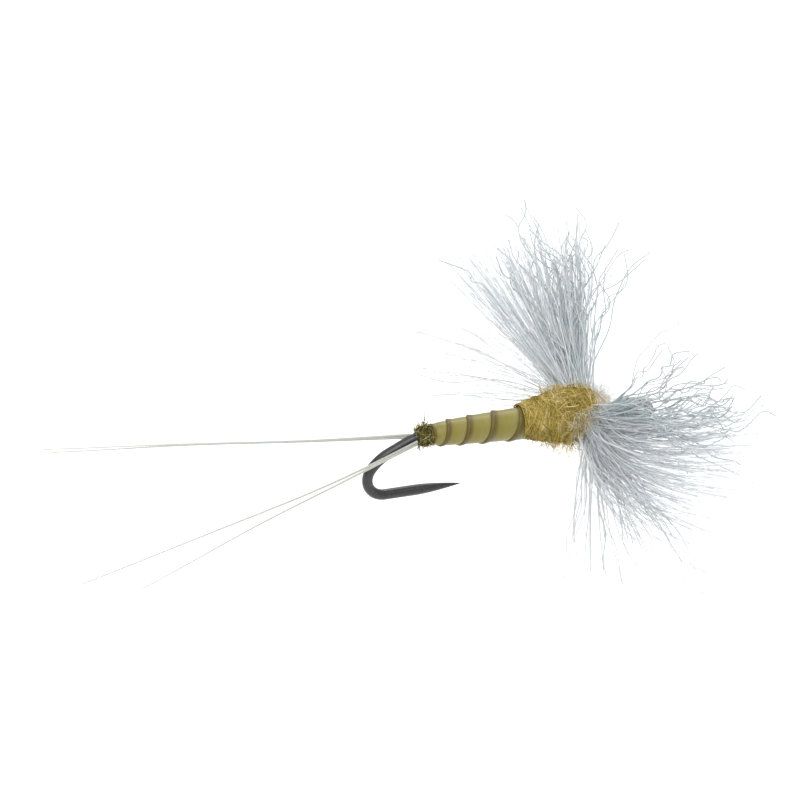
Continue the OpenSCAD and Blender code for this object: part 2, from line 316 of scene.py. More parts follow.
def fibre_finish(name, stops, tip, rough, passing, painted_sheen_tint=None):
    """Wing and tail fibres: their own tones, drifting to a tip colour, with light passing through, and
    with patches of painted sheen where a tint is given.
    """
    mottle, tip_share, painted_sheen_share = 0.3, 0.6, 0.5
    m = Nodes(name)
    tone = m.maths("ADD", m.attribute("tone"), m.maths("MULTIPLY", m.noise(1.5 * PER_MM, 3), mottle))
    shade = m.ramp(m.maths("SUBTRACT", tone, mottle / 2), stops)
    # Painted sheen: noise patches where the tint is multiplied into the fibre colour, standing in for
    # light off the fibres.
    if painted_sheen_tint:
        painted_sheen_patch = m.ramp(m.noise(0.9 * PER_MM, 2), [(0.45, (1, 1, 1)), (0.62, painted_sheen_tint)])
        shade = m.mix(painted_sheen_share, shade, painted_sheen_patch, "MULTIPLY")
    shade = m.mix(m.maths("MULTIPLY", m.attribute("along"), tip_share), shade, tip)
    m.colour(shade)
    m.rough(rough - 0.1, rough + 0.12, m.noise(4 * PER_MM, 2))
    m.set(Specular_IOR_Level=0.5)
    m.see_through(shade, passing)
    return m.material


def biot_finish():
    """Pale olive quill, with a dark rear edge on every turn and fine lines along the strip."""
    lines_across, breaks_per_turn = 46.0, 7.0
    edge_wander, line_share, cloud_share = 0.10, 0.55, 0.3
    m = Nodes("banded_quill")
    across, around = m.attribute("across"), m.attribute("around")
    place = m.add("ShaderNodeCombineXYZ")
    m.link(m.maths("MULTIPLY", across, lines_across), place.inputs[0])
    m.link(m.maths("MULTIPLY", around, breaks_per_turn), place.inputs[1])
    grain = m.noise(1.0, 5, place.outputs[0])
    cloud = m.noise(1.3 * PER_MM, 3)
    edge = m.maths("ADD", across, m.maths("MULTIPLY", m.maths("SUBTRACT", cloud, 0.5), edge_wander))
    band = m.ramp(edge, [
        (0.0, lin(100, 84, 34)), (0.04, lin(72, 56, 4)), (0.15, lin(84, 66, 6)),
        (0.28, lin(119, 110, 46)), (0.55, lin(126, 118, 46)), (0.85, lin(129, 123, 68)),
        (1.0, lin(118, 107, 52))])
    lines = m.ramp(grain, [(0.3, (0.80, 0.80, 0.74)), (0.65, (1.06, 1.05, 1.0))])
    shade = m.mix(line_share, band, lines, "MULTIPLY")
    shade = m.mix(m.maths("MULTIPLY", cloud, cloud_share), shade, lin(124, 114, 22))
    m.colour(shade)
    m.rough(0.34, 0.5, grain)
    m.set(Specular_IOR_Level=0.45, Subsurface_Weight=0.25, Subsurface_Scale=0.0002,
          Coat_Weight=0.15, Coat_Roughness=0.35)
    m.bump(grain, 0.25, 0.00002)
    return m.material


def cement_finish():
    m = Nodes("head_varnish")
    m.colour(m.ramp(m.noise(2.5 * PER_MM, 3), [(0.3, lin(120, 104, 50)), (0.7, lin(150, 132, 72))]))
    m.rough(0.05, 0.16, m.noise(3 * PER_MM, 2))
    m.set(Coat_Weight=1.0, Coat_Roughness=0.04)
    return m.material


def floor_finish():
    m = Nodes("pale_floor")
    m.colour(m.ramp(m.noise(40, 4), [(0.2, (0.93, 0.93, 0.93)), (0.8, (0.95, 0.95, 0.95))]))
    m.rough(0.8, 0.95, m.noise(60, 2))
    m.set(Specular_IOR_Level=0.1)
    return m.material


# ---------------- hook

WIRE_R = 0.25
BEND_R, CORNER_R = 2.2, 0.92
FIRST_TURN, SECOND_TURN, LAST_TURN = 27.5, 57.0, 181.0
HOOK_GAP = 2.86
SPEAR_LEN, POINT_LEN = 1.55, 2.3
POINT_TAPER, POINT_TIP_R = 1.6, 0.008
NECK_LEN, NECK_SLIMMING = 0.55, 0.09
EYE_WIRE_R = 0.20
EYE_FLATTENING = 0.9  # power that squares the eye wire's section a little
INTO_RING = 0.02


def inward(heading):
    """Unit vector (x, z) to the inside of the bend; a heading is the turn from straight back."""
    h = np.radians(heading)
    return np.stack([np.sin(h), -np.cos(h)], -1)


def onward(heading):
    """Unit vector (x, z) along the wire at a heading."""
    h = np.radians(heading)
    return np.stack([-np.cos(h), -np.sin(h)], -1)


def arc(start, radius, h0, h1, steps):
    """Points along a bend that turns from heading h0 to h1."""
    return start + radius * (inward(h0) - inward(np.linspace(h0, h1, steps)))


def straight(start, heading, length, steps):
    """Points along a straight stretch of wire."""
    return start + np.linspace(0, length, steps)[:, None] * onward(heading)


def hook_axis(bend_x):
    """The hook's centre line in its own plane from the shank to the start of the point."""
    drop = BEND_R * (1 - math.cos(math.radians(SECOND_TURN)))
    drop += CORNER_R * (math.cos(math.radians(SECOND_TURN)) + 1)
    slope_len = (HOOK_GAP - drop) / math.sin(math.radians(FIRST_TURN))
    parts = [arc(np.array([bend_x, 0.0]), BEND_R, 0, FIRST_TURN, 24)]
    parts.append(straight(parts[-1][-1], FIRST_TURN, slope_len, 12)[1:])
    parts.append(arc(parts[-1][-1], BEND_R, FIRST_TURN, SECOND_TURN, 24)[1:])
    parts.append(arc(parts[-1][-1], CORNER_R, SECOND_TURN, LAST_TURN, 56)[1:])
    parts.append(straight(parts[-1][-1], LAST_TURN, SPEAR_LEN, 16)[1:])
    return np.concatenate(parts)


def make_hook(material):
    """One bent wire, from the back of the eye ring to the point, and the ring itself."""
    hook_low, hook_high = box_mm("hook")
    rearmost = hook_axis(0.0)[:, 0].min() - WIRE_R
    bent = hook_axis(hook_low[0] - rearmost)
    ring_centre = hook_high[0] - EYE_WIRE_R
    shank = np.linspace([-ring_centre + INTO_RING, 0], bent[0], 40)[:-1]
    t = np.linspace(0, 1, 30)
    point_r = np.maximum(WIRE_R * (1 - t ** POINT_TAPER), POINT_TIP_R)
    point = bent[-1] + POINT_LEN * t[:, None] * onward(LAST_TURN)
    flat = np.concatenate([shank, bent[:-1], point])
    path = np.stack([flat[:, 0], 0 * flat[:, 0], flat[:, 1]], 1)
    radius = np.full(len(path), WIRE_R)
    radius[-len(point):] = point_r
    neck = np.clip((path[:, 0] + ring_centre + NECK_LEN) / NECK_LEN, 0, 1)
    neck *= np.arange(len(path)) < len(shank)
    radius -= NECK_SLIMMING * smooth(neck)
    verts, quads, _ = tube_mesh(path[None], radius[None], 32)
    turns, sides = 96, 24
    a = np.arange(turns) * 2 * math.pi / turns
    b = np.arange(sides) * 2 * math.pi / sides
    squared = np.sign(np.cos(b)) * np.abs(np.cos(b)) ** EYE_FLATTENING
    section = EYE_WIRE_R * np.stack([squared, np.sin(b)], 1)
    reach = np.broadcast_to(ring_centre + section[None, :, 0], (turns, sides))
    ring = np.stack([reach * np.cos(a)[:, None], reach * np.sin(a)[:, None],
                     np.broadcast_to(section[None, :, 1], (turns, sides))], -1).reshape(-1, 3)
    i, j = np.meshgrid(np.arange(turns), np.arange(sides), indexing="ij")
    i2, j2 = (i + 1) % turns, (j + 1) % sides
    ring_quads = np.stack([i * sides + j, i2 * sides + j, i2 * sides + j2, i * sides + j2], -1)
    ring_quads = ring_quads.reshape(-1, 4) + len(verts)
    verts = np.concatenate([verts, ring])
    quads = np.concatenate([quads, ring_quads])
    obj = build("hook_wire", verts, quads, {})
    attach(obj, ROOT, ["hook"], material)


# ---------------- abdomen

under_low, under_high = box_mm("abdomen_underbody")
under_points = node_points("abdomen_underbody")


def outer_radius(points, x):
    """Largest distance from the shank axis of a turned node, at x."""
    xs = np.round(points[:, 0], 2)
    stations = np.unique(xs)
    reach = np.array([np.hypot(points[xs == s][:, 1], points[xs == s][:, 2]).max() for s in stations])
    return np.interp(x, stations, reach)


TURNS = 4
START_ANGLE = -134.0
LEAD_IN = 0.8  # of a turn, where the strip's tip is cut off against the ball
STRIP_T = 0.06
LIP = 0.085
LIP_SPREAD = 0.24  # share of the strip's width over which the raised edge dies away
SHARP_EDGE, SHARP_SPREAD = 0.45, 0.02  # how far the very edge drops again, and over what share
FIRST_GAP, LAST_GAP = 0.02, 0.03  # bare underbody behind the first turn and before the last
OVERLAP = 0.04
CLEARANCE = 0.012
BELLY, SINK, RIPPLE = 0.02, 0.05, 0.004


def advance(t):
    """Axial advance of the strip after t turns, before scaling to the abdomen's length."""
    return 0.78 * t + 0.09 * t * t


def strip_x(t):
    """Where the rear edge of the quill strip is after t turns."""
    span = under_high[0] - under_low[0] - (FIRST_GAP + LAST_GAP)
    return under_low[0] + FIRST_GAP + span * advance(t) / advance(TURNS + 1)


def make_biot(material):
    """One quill strip wound towards the front, each turn over the front edge of the one before."""
    per_turn, across_n, edge_crowding = 110, 22, 1.25
    n = int((TURNS + LEAD_IN) * per_turn)
    t = np.arange(n + 1) / per_turn - LEAD_IN
    a = np.radians(START_ANGLE) + t * 2 * math.pi
    u = np.linspace(0, 1, across_n) ** edge_crowding
    xa, xb = strip_x(np.maximum(t, 0))[:, None], strip_x(t + 1)[:, None] + OVERLAP
    x = xa + (xb - xa) * u[None, :]
    base = outer_radius(under_points, x) + CLEARANCE
    sharp = 1 - SHARP_EDGE * np.exp(-(u / SHARP_SPREAD) ** 2)
    lip = STRIP_T * 0.75 + LIP * np.exp(-(u / LIP_SPREAD) ** 2) * sharp
    belly = BELLY * np.sin(math.pi * np.clip((u - 0.2) / 0.8, 0, 1))
    sink = SINK * smooth((u - 0.93) / 0.07)
    rng = np.random.default_rng(SEED + 1)
    ripple = sum(RIPPLE * np.sin(a[:, None] * k + rng.uniform(0, 6)) for k in (1.7, 2.9, 4.3))
    top = base + lip[None, :] + belly[None, :] - sink[None, :] + ripple
    radius = np.concatenate([top, base[:, ::-1]], 1)
    xs = np.concatenate([x, x[:, ::-1]], 1)
    m = across_n * 2
    verts = np.stack([xs, -radius * np.sin(a)[:, None], -radius * np.cos(a)[:, None]], -1)
    verts = verts.reshape(-1, 3)
    i, j = np.meshgrid(np.arange(n), np.arange(m), indexing="ij")
    j2 = (j + 1) % m
    quads = np.stack([i * m + j, (i + 1) * m + j, (i + 1) * m + j2, i * m + j2], -1)
    quads = quads.reshape(-1, 4)
    ends = [[row * m + k, row * m + k + 1, row * m + m - 2 - k, row * m + m - 1 - k]
            for row in (0, n) for k in range(across_n - 1)]
    quads = np.concatenate([quads, np.array(ends)])
    across = np.broadcast_to(np.concatenate([u, u[::-1]]), (n + 1, m))
    around = np.broadcast_to(t[:, None], (n + 1, m))
    obj = build("quill_wraps", verts, quads, {"across": across, "around": around})
    attach(obj, ROOT, ["abdomen_biot_wrap"], material)


# ---------------- spun fur

def fur_core(name, node, x0, x1, profile, depth, lump, seed, material, lift=0.0):
    """Lumpy packed core of a spun-fur piece, turned about the shank, a depth below its profile."""
    rng = np.random.default_rng(seed)
    rows, cols, waves = 64, 72, 14
    rounded_end, least_r = 0.04, 0.02
    t = np.linspace(0, 1, rows)
    a = np.arange(cols) * 2 * math.pi / cols
    x = x0 + (x1 - x0) * t
    r = (profile(x) - depth)[:, None] * np.ones((1, cols))
    for _ in range(waves):
        k, m = rng.integers(1, 9), rng.uniform(2, 16)
        height = lump * rng.uniform(0.2, 1) / math.sqrt(k)
        r = r + height * np.sin(k * a[None] + m * t[:, None] * 3 + rng.uniform(0, 6))
    close = np.sqrt(np.clip(np.minimum(t, 1 - t) / rounded_end, 0, 1))
    r = np.maximum(r * close[:, None], least_r)
    verts = np.stack([np.broadcast_to(x[:, None], r.shape), r * np.cos(a), r * np.sin(a) + lift], -1)
    i, j = np.meshgrid(np.arange(rows - 1), np.arange(cols), indexing="ij")
    j2 = (j + 1) % cols
    quads = np.stack([i * cols + j, i * cols + j2, (i + 1) * cols + j2, (i + 1) * cols + j], -1)
    tone = 0.12 + 0.3 * rng.random(rows * cols)  # darker than most of the hairs over it
    obj = build(name, verts.reshape(-1, 3), quads.reshape(-1, 4), {"tone": tone, "along": 0 * tone})
    attach(obj, ROOT, [node], material)


def wound_hairs(rng, count, x0, x1, profile, arc_len, lift, thickness, steps=9, lean=0.5):
    """Hairs that lie round the body, each rising by its own lift in the middle or at its tip."""
    looped_share, end_margin = 0.55, 0.08
    x = x0 + (x1 - x0) * rng.random(count)
    a = rng.uniform(0, 2 * math.pi, count)
    length = arc_len * rng.uniform(0.4, 1.3, count)
    slant = rng.normal(0, lean, count)
    s = np.linspace(0, 1, steps)[None]
    radius = profile(x)
    turn = rng.choice([-1, 1], count) * length / radius * np.cos(slant)
    curl = rng.normal(0, 0.12, count)[:, None] * np.sin(s * rng.uniform(2, 7, count)[:, None])
    angle = a[:, None] + turn[:, None] * s + curl
    xs = x[:, None] + (length * np.sin(slant))[:, None] * s + 0.05 * np.sin(s * 5 + a[:, None])
    xs = np.clip(xs, x0 - end_margin, x1 + end_margin)
    rise = rng.exponential(lift, count)[:, None]
    loop = rng.random(count)[:, None] < looped_share
    height = rise * np.where(loop, np.sin(math.pi * s), s ** 1.6)
    height = height + rng.uniform(-0.02, 0.03, count)[:, None]
    r = profile(xs) + height
    paths = np.stack([xs, r * np.cos(angle), r * np.sin(angle)], -1)
    radii = thickness * rng.uniform(0.6, 1.3, count)[:, None] * (1 - 0.6 * s ** 2)
    return paths, radii


def loose_hairs(rng, starts, dirs, length, thickness, curl, steps=10):
    """Free hairs from given points, curling as they go."""
    count = len(starts)
    s = np.linspace(0, 1, steps)[None, :, None]
    side = unit(np.cross(dirs, rng.normal(size=(count, 3))))
    other = np.cross(dirs, side)
    reach = length * rng.uniform(0.5, 1.2, (count, 1, 1))
    turn = rng.uniform(1.5, 5, (count, 1, 1))
    phase = rng.uniform(0, 6, (count, 1, 1))
    bend = curl * rng.uniform(0.3, 1, (count, 1, 1)) * reach
    paths = (starts[:, None] + unit(dirs)[:, None] * reach * s
             + side[:, None] * bend * (np.sin(turn * s + phase) - np.sin(phase)) * 0.5
             + other[:, None] * bend * (1 - np.cos(turn * s)) * 0.5)
    radii = thickness * rng.uniform(0.6, 1.2, (count, 1)) * (1 - 0.65 * s[..., 0])
    return paths, radii


def joined(parts):
    """Joins sets of paths, with more steps in those that have fewer."""
    most = max(p.shape[1] for p, _ in parts)
    out_p, out_r = [], []
    for p, r in parts:
        old, new = np.linspace(0, 1, p.shape[1]), np.linspace(0, 1, most)
        if p.shape[1] != most:
            p = np.stack([np.stack([np.interp(new, old, q[:, k]) for k in range(3)], -1) for q in p])
            r = np.stack([np.interp(new, old, q) for q in r])
        out_p.append(p)
        out_r.append(r)
    return np.concatenate(out_p), np.concatenate(out_r)


thorax_low, thorax_high = box_mm("thorax_dubbing")
front_low, front_high = box_mm("front_dubbing")
ball_low, _ = box_mm("tail_ball")
wing_x = (thorax_high[0] + front_low[0]) / 2


def thorax_profile(x):
    """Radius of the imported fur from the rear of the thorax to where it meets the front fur."""
    t = np.clip((x - thorax_low[0]) / (wing_x - thorax_low[0]), 0, 1.2)
    fullest, rear_r, growth, front_fall = 0.62, 0.79, 0.36, 0.10
    rise = np.sin(np.minimum(t / fullest, 1) * math.pi / 2) ** 1.25
    return rear_r + growth * rise - front_fall * smooth((t - 0.75) / 0.4)


UP_OF_CENTRE = 0.11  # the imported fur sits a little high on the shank
FRONT_UP = UP_OF_CENTRE * 0.5


def raised(paths, by):
    return paths + np.array([0.0, 0.0, by])


def round_shank(rng, x, radius):
    """Random angles about the shank, the outward directions there and the points at that radius."""
    a = rng.uniform(0, 2 * math.pi, len(x))
    out = np.stack([0 * a, np.cos(a), np.sin(a)], -1)
    return a, out, np.stack([x, 0 * x, 0 * x], -1) + out * radius[:, None]


ROOT_DEPTH = 0.03  # how far below the fur's surface its loose hairs are rooted


def make_thorax(material):
    """Golden fur: smooth at the rear, curly over the front half, with hairs hanging below."""
    rng = np.random.default_rng(SEED + 2)
    x0, x1 = thorax_low[0], wing_x + 0.15
    fur_core("thorax_fur_core", "thorax_dubbing", x0 + 0.02, x1, thorax_profile, depth=0.06, lump=0.03,
             seed=SEED + 3, material=material, lift=UP_OF_CENTRE)
    smooth_n, curly_n, spike_n, hanging_n = 1900, 900, 330, 130
    smooth_rear, hanging_zone = 1.5, 1.9
    parts = [
        wound_hairs(rng, smooth_n, x0 + 0.03, x1, thorax_profile, arc_len=1.2, lift=0.028,
                    thickness=0.022),
        wound_hairs(rng, curly_n, x0 + smooth_rear, x1, thorax_profile, arc_len=0.9, lift=0.12,
                    thickness=0.026, lean=0.9),
    ]
    tone = [rng.beta(1.6, 2.0, smooth_n) * 0.85, 0.15 + 0.85 * rng.beta(1.3, 1.6, curly_n)]
    # Spikes, most of them over the front half.
    x = x0 + (x1 - x0) * rng.beta(2.2, 1.1, spike_n)
    a, out, starts = round_shank(rng, x, thorax_profile(x) - ROOT_DEPTH)
    sideways = np.stack([0 * a, -np.sin(a), np.cos(a)], -1)
    dirs = out * rng.uniform(0.15, 0.8, (spike_n, 1)) + sideways * rng.normal(0, 0.9, (spike_n, 1))
    dirs[:, 0] += rng.normal(0.1, 0.7, spike_n)
    parts.append(loose_hairs(rng, starts, unit(dirs), length=0.55, thickness=0.020, curl=0.6))
    tone.append(0.4 + 0.6 * rng.random(spike_n))
    # Loose fibres that hang below the front half.
    x = x1 - 0.2 - hanging_zone * rng.random(hanging_n)
    starts = np.stack([x, rng.normal(-0.3, 0.35, hanging_n), -thorax_profile(x) + 0.15], -1)
    dirs = unit(np.stack([rng.normal(0.0, 0.55, hanging_n), rng.normal(-0.2, 0.3, hanging_n),
                          -np.ones(hanging_n)], -1))
    parts.append(loose_hairs(rng, starts, dirs, length=0.95, thickness=0.012, curl=0.9))
    tone.append(0.6 + 0.4 * rng.random(hanging_n))
    paths, radii = joined(parts)
    obj = fibres("thorax_fur", raised(paths, UP_OF_CENTRE), radii, 3, np.concatenate(tone))
    attach(obj, ROOT, [], material)


def front_profile(x):
    """Radius of the front fur, falling towards the head."""
    t = np.clip((x - wing_x) / (front_high[0] - wing_x), 0, 1)
    wing_r, fall, roundness = 1.06, 0.46, 1.7
    return wing_r - fall * t ** roundness


def make_front(material):
    """Fur in front of the wings: gold near them, cream towards the head."""
    rng = np.random.default_rng(SEED + 5)
    x0, x1 = wing_x + 0.05, front_high[0]
    fur_core("front_fur_core", "front_dubbing", x0, x1, front_profile, depth=0.05, lump=0.02,
             seed=SEED + 6, material=material, lift=FRONT_UP)
    wound_n, loose_n = 800, 240
    parts = [wound_hairs(rng, wound_n, x0, x1, front_profile, arc_len=0.8, lift=0.06, thickness=0.016)]
    x = x0 + (x1 - x0) * rng.random(loose_n)
    wound_x = parts[0][0][:, 0, 0]
    tone = [np.clip(start + 0.6 * (place - x0) / (x1 - x0) + rng.normal(0, 0.2, len(place)), 0, 1)
            for start, place in ((0.3, wound_x), (0.4, x))]
    _, out, starts = round_shank(rng, x, front_profile(x) - ROOT_DEPTH)
    dirs = out + rng.normal(0, 0.6, (loose_n, 3))
    parts.append(loose_hairs(rng, starts, unit(dirs), length=0.55, thickness=0.012, curl=0.8))
    paths, radii = joined(parts)
    obj = fibres("front_fur", raised(paths, FRONT_UP), radii, 3, np.concatenate(tone))
    attach(obj, ROOT, [], material)


def ball_profile(x):
    """Radius of the dark ball, from its rear to where the abdomen starts."""
    t = (x - ball_low[0]) / (under_low[0] - ball_low[0])
    end_r, belly = 0.26, 0.18
    return end_r + belly * np.sqrt(np.clip(np.sin(math.pi * t), 0, 1))


def make_ball(material):
    """Dark fur ball that covers the tail wraps and props up the tails."""
    rng = np.random.default_rng(SEED + 7)
    x0, x1 = ball_low[0] - 0.02, under_low[0] + 0.10
    fur_core("ball_fur_core", "tail_ball", x0, x1, ball_profile, depth=0.03, lump=0.02,
             seed=SEED + 8, material=material)
    wound_n, spike_n, stray_n = 220, 240, 3
    parts = [wound_hairs(rng, wound_n, x0, x1, ball_profile, arc_len=0.5, lift=0.05, thickness=0.016)]
    x = x0 + (x1 - x0) * rng.random(spike_n)
    _, out, starts = round_shank(rng, x, ball_profile(x) - ROOT_DEPTH)
    dirs = out * 0.8 + rng.normal(0, 0.8, (spike_n, 3))
    parts.append(loose_hairs(rng, starts, unit(dirs), length=0.34, thickness=0.023, curl=0.6))
    # Stray hairs that stand up over the ball.
    top = np.array([(x0 + x1) / 2 - 0.2, -0.05, 0.34]) + rng.normal(0, 0.08, (stray_n, 3))
    upward = unit(rng.normal([-0.15, 0, 1], 0.22, (stray_n, 3)))
    parts.append(loose_hairs(rng, top, upward, length=0.85, thickness=0.022, curl=0.5))
    paths, radii = joined(parts)
    tone = np.concatenate([rng.beta(0.9, 1.3, wound_n), rng.beta(0.9, 0.9, spike_n),
                           np.full(stray_n, 0.4)])
    obj = fibres("ball_fur", paths, radii, 3, tone)
    attach(obj, ROOT, [], material)


# ---------------- thread

def make_thread(name, node, x0, x1, r0, r1, turns, thick, material, crossing=0.0):
    """Thread really wound round the shank, one turn beside the next."""
    rng = np.random.default_rng(SEED + len(name))
    steps_per_turn = 40
    t = np.linspace(0, 1, int(turns * steps_per_turn))
    a = t * turns * 2 * math.pi
    wander = np.interp(t * turns, np.arange(turns + 2), rng.normal(0, 0.12, int(turns) + 2)) * thick
    x = x0 + (x1 - x0) * t + wander + crossing * np.sin(a * 0.5)
    r = r0 + (r1 - r0) * t + 0.25 * thick * np.sin(a * 0.37)
    path = np.stack([x, -r * np.sin(a), r * np.cos(a)], -1)
    obj = fibres(name, path[None], np.full((1, len(path)), thick / 2), 4, np.array([0.5]))
    attach(obj, ROOT, [node], material)


# ---------------- wings

def fan_dirs(sweep, rise, side):
    """Unit directions: sweep forward from straight out, then raise above level, in degrees."""
    f, d = np.radians(sweep), np.radians(rise)
    return np.stack([np.sin(f), side * np.cos(f) * np.cos(d), np.cos(f) * np.sin(d)], -1)


def kinked(rng, roots, dirs, lengths, corners, bend, gather):
    """Crimped filaments that leave as one bundle, then spread, turning a little at every corner."""
    count = len(roots)
    swing_back, flatness = 0.45, 0.75
    root_kink, full_kink = 0.06, 1.3
    middle = unit(dirs.mean(0))
    e1 = unit(np.cross(dirs, [[0.2, 0.1, 1.0]]))
    e2 = np.cross(dirs, e1)
    spot = roots.copy()
    points = [spot]
    lean = np.zeros((count, 2))
    runs = rng.uniform(0.45, 1.55, (count, corners))
    runs /= runs.sum(1, keepdims=True)
    gone = np.zeros(count)
    for k in range(corners):
        apart = 1 - gather + 2 * gather * smooth(gone * 1.3)[:, None]
        gone = gone + runs[:, k]
        strength = bend * (root_kink + full_kink * smooth(gone * 1.15 - 0.1))[:, None]
        turn = rng.gamma(1.5, 0.66, (count, 2))
        lean = -swing_back * lean + strength * turn * rng.choice([-1, 1], (count, 2))
        way = middle + (dirs - middle) * apart + e1 * lean[:, :1] + e2 * lean[:, 1:] * flatness
        spot = spot + unit(way) * (lengths * runs[:, k])[:, None]
        points.append(spot)
    return rounded(np.stack(points, 1), 2)


def swept(rng, roots, first, last, lengths, steps, wave):
    """Soft fibres that leave along first and end towards last, with a slight wave."""
    turning_point = 0.45
    s = np.linspace(0, 1, steps)[None, :, None]
    reach = lengths[:, None, None]
    middle = roots[:, None] + first[:, None] * reach * turning_point
    end = roots[:, None] + last[:, None] * reach
    path = roots[:, None] * (1 - s) ** 2 + middle * 2 * s * (1 - s) + end * s ** 2
    side = unit(np.cross(last, rng.normal(size=last.shape)))[:, None]
    k = rng.uniform(3, 9, (len(roots), 1, 1))
    phase = rng.uniform(0, 6, (len(roots), 1, 1))
    return path + side * wave * s * np.sin(k * s * 2 + phase) * rng.uniform(0.2, 1, (len(roots), 1, 1))


def barbules(rng, paths, per_barb, length, spread):
    """Fine side fibres along each barb, shorter towards its tip and slanting that way."""
    count, steps, _ = paths.shape
    own = np.repeat(np.arange(count), per_barb)
    share = rng.beta(1.7, 1.2, len(own))
    place = share * (steps - 1.001)
    low = place.astype(int)
    part = (place - low)[:, None]
    start = paths[own, low] * (1 - part) + paths[own, low + 1] * part
    along = unit(paths[own, low + 1] - paths[own, low])
    side = unit(np.cross(along, rng.normal(size=along.shape)))
    slant = np.radians(rng.normal(spread, 9, len(own)))[:, None]
    reach = length * rng.uniform(0.4, 1.2, (len(own), 1)) * (1.15 - 0.8 * share[:, None])
    end = start + (along * np.cos(slant) + side * np.sin(slant)) * reach
    return np.stack([start, end], 1), own


BARBULE_R = [0.0055, 0.0025]  # at the barb and at the tip


def plume(name, rng, paths, radii, tone, per_barb, length, spread):
    """Barbs with their barbules in one mesh."""
    verts, quads, along = tube_mesh(paths, radii, 4)
    fine, own = barbules(rng, paths, per_barb, length, spread)
    fine_radii = np.broadcast_to([BARBULE_R], fine.shape[:2])
    more_verts, more_quads, more_along = tube_mesh(fine, fine_radii, 3)
    tones = np.concatenate([np.repeat(tone, paths.shape[1] * 4), np.repeat(tone[own], 2 * 3)])
    quads = np.concatenate([quads, more_quads + len(verts)])
    return build(name, np.concatenate([verts, more_verts]), quads,
                 {"along": np.concatenate([along, more_along]), "tone": tones})


def foot_points(rng, offset, count, scatter):
    """Scattered points at the foot of a wing, given by its offset from the shank at the wings."""
    return np.array([wing_x, 0, 0]) + offset + rng.normal(0, 1, (count, 3)) * scatter


FRONT_MARGIN = 0.3


def held_back(paths):
    """Shortens, from its foot, any filament that would reach past the front of the CAD box."""
    front = cad_high.x / MM - FRONT_MARGIN
    foot, reach = paths[:, :1, 0], paths[:, :, 0].max(1, keepdims=True)
    share = np.clip((front - foot) / np.maximum(reach - foot, 0.01), 0, 1)
    return paths[:, :1] + (paths - paths[:, :1]) * share[:, :, None]


# In these settings lengths are in millimetres and angles in degrees. Ranges are (least, most), but
# the sweep and rise of the yarn and the short ends are (mean, spread).
YARN = {
    FAR: dict(count=44, corners=9, foot=[0.1, 0.5, 0.25], scatter=[0.20, 0.06, 0.12],
              sweep=(13, 13), sweep_range=(-15, 33), rise=(27, 5), length=(9.2, 12.0),
              wild=4, wild_sweep=(28, 38), wild_rise=(20, 30), wild_length=(9.2, 10.8),
              hanging=[], bend=0.34, gather=0.45),
    NEAR: dict(count=44, corners=10, foot=[0.1, -0.55, 0.05], scatter=[0.30, 0.12, 0.34],
               sweep=(34, 9), sweep_range=(-90, 90), rise=(27, 10), length=(7.0, 9.9),
               wild=11, wild_sweep=(16, 38), wild_rise=(40, 70), wild_length=(5.4, 8.8),
               hanging=[-12.0], bend=0.52, gather=0.25),
}


def make_yarn(side, material):
    """Crinkled strands: the main bundle, wild ones that stand apart and any that hang."""
    rng = np.random.default_rng(SEED + 20 + side)
    yarn = YARN[side]
    count = yarn["count"]
    apart = yarn["wild"] + len(yarn["hanging"])
    sweep = np.concatenate([np.clip(rng.normal(*yarn["sweep"], count), *yarn["sweep_range"]),
                            rng.uniform(*yarn["wild_sweep"], apart)])
    rise = np.concatenate([rng.normal(*yarn["rise"], count),
                           rng.uniform(*yarn["wild_rise"], yarn["wild"]), yarn["hanging"]])
    lengths = np.concatenate([rng.uniform(*yarn["length"], count),
                              rng.uniform(*yarn["wild_length"], apart)])
    count += apart
    roots = foot_points(rng, yarn["foot"], count, yarn["scatter"])
    paths = kinked(rng, roots, fan_dirs(sweep, rise, side), lengths, yarn["corners"], yarn["bend"],
                   yarn["gather"])
    paths = held_back(paths)
    s = np.linspace(0, 1, paths.shape[1])[None]
    radii = rng.uniform(0.026, 0.038, (count, 1)) * (1 - 0.2 * s)
    obj = fibres(BODY[side] + "_yarn_filaments", paths, radii, 5, rng.random(count))
    attach(obj, BODY[side], [BODY[side] + "_yarn"], material)


SHORT_ENDS = dict(count={FAR: 500, NEAR: 2000}, sweep=(8, 32), rise=(12, 26), start=(0.75, 1.15),
                  length=1.15, radius=0.010, curl=0.9, forward_share=0.45, forward_sweep=(45, 10),
                  forward_rise=(32, 6), forward_stretch=1.7)


def make_tie_in_fuzz(side, material):
    """Short pale ends that curl round the foot of a wing, some of them forward over the dubbing."""
    rng = np.random.default_rng(SEED + 60 + side)
    ends = SHORT_ENDS
    count = ends["count"][side]
    sweep, rise = rng.normal(*ends["sweep"], count), rng.normal(*ends["rise"], count)
    forward = rng.random(count) < ends["forward_share"]
    sweep = np.where(forward, rng.normal(*ends["forward_sweep"], count), sweep)
    rise = np.where(forward, rng.normal(*ends["forward_rise"], count), rise)
    dirs = fan_dirs(sweep, rise, side)
    starts = np.array([wing_x + 0.15, 0, 0]) + dirs * rng.uniform(*ends["start"], (count, 1))
    lean = unit(dirs + rng.normal(0, 0.55, (count, 3)) + [0.35, 0, 0])
    paths, radii = loose_hairs(rng, starts, lean, ends["length"], ends["radius"], ends["curl"], steps=14)
    stretch = np.where(forward, ends["forward_stretch"], 1.0)[:, None, None]
    paths = starts[:, None] + (paths - starts[:, None]) * stretch
    # Only ends that stay on their own side when the wings flex up are kept.
    outward, height = side * paths[:, :, 1], paths[:, :, 2]
    own_side = (outward > np.maximum(height - 0.15, 0.1)).all(1)
    paths, radii = paths[own_side], radii[own_side]
    obj = fibres(BODY[side] + "_tie_in_fuzz", paths, radii, 3, rng.random(len(paths)))
    attach(obj, BODY[side], [], material)


